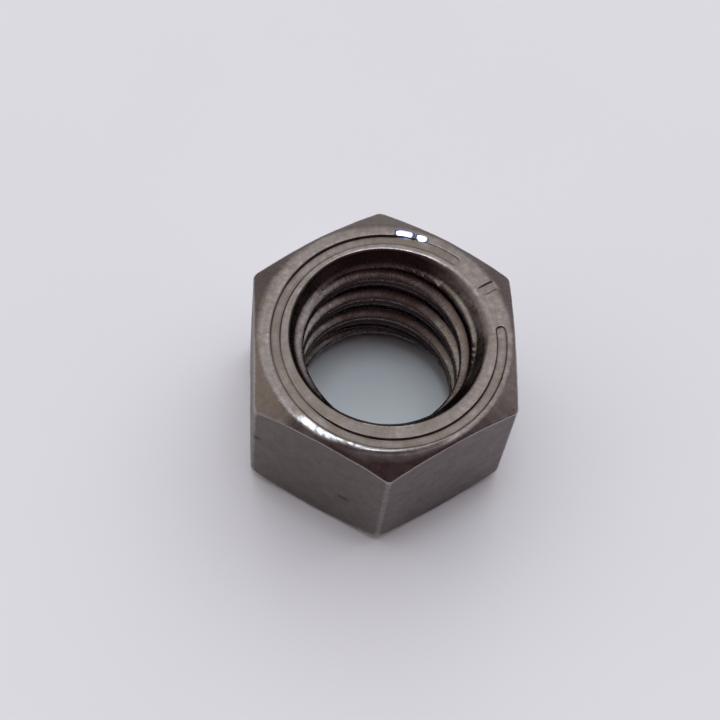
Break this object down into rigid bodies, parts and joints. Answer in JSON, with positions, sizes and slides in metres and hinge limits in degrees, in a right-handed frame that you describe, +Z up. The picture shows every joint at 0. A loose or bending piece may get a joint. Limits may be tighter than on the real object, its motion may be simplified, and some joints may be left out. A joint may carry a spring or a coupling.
{
  "type": "hex nut",
  "caption": "Chamfered hexagon nut of worn, oily forged steel with a coarse, shallow right-hand thread and plain struck marks on its top face.",
  "frame": {"origin": "centre of the bottom bearing face, on the thread's axis", "axes": "+Z up along the thread's axis, out of the marked face; +X square to one pair of flats; +Y through two corners"},
  "size_m": [0.024, 0.0274, 0.016],
  "materials": {
    "forged_steel": "worn bare forged steel with a thin oil film, dark oxide in the countersink"
  },
  "bodies": {
    "root": {"hex_nut": "forged_steel"}
  },
  "joints": []
}
